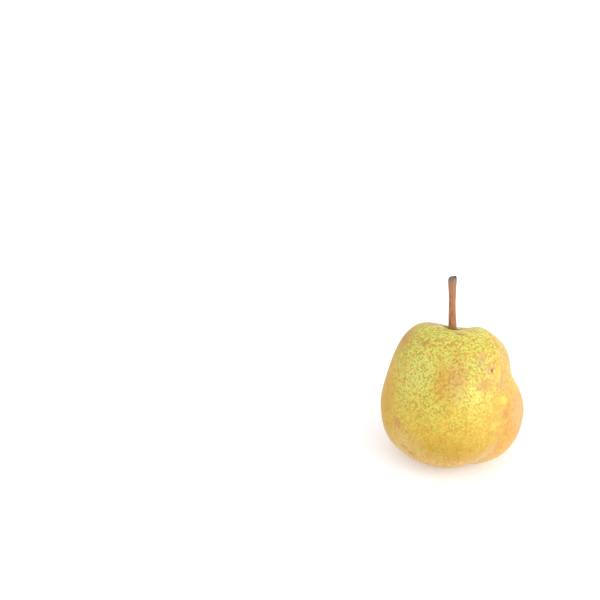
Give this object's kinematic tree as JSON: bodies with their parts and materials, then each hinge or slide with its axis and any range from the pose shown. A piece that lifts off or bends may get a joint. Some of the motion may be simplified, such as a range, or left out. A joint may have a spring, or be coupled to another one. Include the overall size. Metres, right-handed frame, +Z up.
{
  "type": "pear",
  "caption": "Squat russet pear standing on its base, broad at the belly, with a leaning woody stem in the cavity on top and a dried calyx in the basin beneath.",
  "frame": {"origin": "under the middle of the pear's bounding box, on the surface that it stands on", "axes": "+Z up from the surface, -Y towards the side that the picture shows, +X to the right in the picture"},
  "size_m": [0.0784, 0.0782, 0.095],
  "materials": {
    "skin": "satin, yellow-green with fine orange-brown russet specks",
    "stem_bark": "dry, reddish brown",
    "dried_calyx": "dry, dark brown"
  },
  "bodies": {
    "root": {"pear_body": "skin", "stem": "stem_bark", "calyx": "dried_calyx"}
  },
  "joints": []
}
